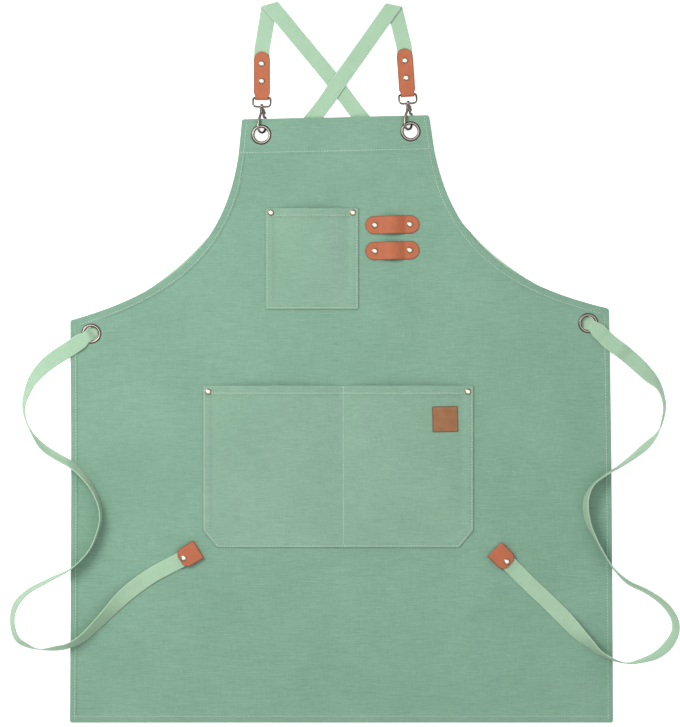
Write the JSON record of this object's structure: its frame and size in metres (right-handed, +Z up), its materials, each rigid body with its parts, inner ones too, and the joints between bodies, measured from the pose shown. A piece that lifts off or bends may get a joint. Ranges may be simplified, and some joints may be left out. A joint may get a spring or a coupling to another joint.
{
  "type": "cross-back apron",
  "caption": "Canvas bib apron lying flat, with chest and waist pockets, leather tool loops, and webbing straps that hook to the bib, cross at the back and end as ties.",
  "frame": {"origin": "on the surface the apron lies on, under the middle of the panel, 209.5 mm above the bottom hem", "axes": "+X to the right of the picture, +Y towards the bib and the shoulder straps, +Z up, out of the apron's front"},
  "size_m": [0.8623, 0.9294, 0.0227],
  "materials": {
    "canvas": "matte",
    "webbing": "matte",
    "leather": "satin",
    "eyelet_metal": "satin",
    "rivet_metal": "polished",
    "hook_metal": "satin"
  },
  "bodies": {
    "apron": {"apron_panel": "canvas", "chest_pocket": "canvas", "waist_pocket": "canvas", "tool_loop_upper": "leather", "tool_loop_lower": "leather", "label_patch": "leather", "strap_left": "webbing", "strap_right": "webbing", "strap_tab_left": "leather", "strap_tab_right": "leather", "strap_tip_left": "leather", "strap_tip_right": "leather", "eyelet_top_left": "eyelet_metal", "eyelet_top_right": "eyelet_metal", "eyelet_side_left": "eyelet_metal", "eyelet_side_right": "eyelet_metal", "rivet_chest_left": "rivet_metal", "rivet_chest_right": "rivet_metal", "rivet_waist_left": "rivet_metal", "rivet_waist_right": "rivet_metal", "rivet_loop_upper_left": "rivet_metal", "rivet_loop_upper_right": "rivet_metal", "rivet_loop_lower_left": "rivet_metal", "rivet_loop_lower_right": "rivet_metal", "rivet_tab_left_lower": "rivet_metal", "rivet_tab_left_upper": "rivet_metal", "rivet_tab_right_lower": "rivet_metal", "rivet_tab_right_upper": "rivet_metal", "rivet_tip_left": "rivet_metal", "rivet_tip_right": "rivet_metal", "hook_bail_left": "hook_metal", "hook_body_left": "hook_metal", "hook_bail_right": "hook_metal", "hook_body_right": "hook_metal"},
    "lever_left": {"hook_lever_left": "hook_metal"},
    "lever_right": {"hook_lever_right": "hook_metal"}
  },
  "joints": [
    {"name": "lever_left_hinge", "type": "hinge", "parent": "apron", "child": "lever_left", "pos_m": [-0.10156, 0.57899, 0.00559], "axis": [-0.7431, 0, -0.6691], "range_deg": [0, 25], "stiffness_Nm_per_rad": 0.03, "springref_deg": -11.46},
    {"name": "lever_right_hinge", "type": "hinge", "parent": "apron", "child": "lever_right", "pos_m": [0.08685, 0.58321, 0.00559], "axis": [-0.7431, 0, -0.6691], "range_deg": [0, 25], "stiffness_Nm_per_rad": 0.03, "springref_deg": -11.46}
  ]
}
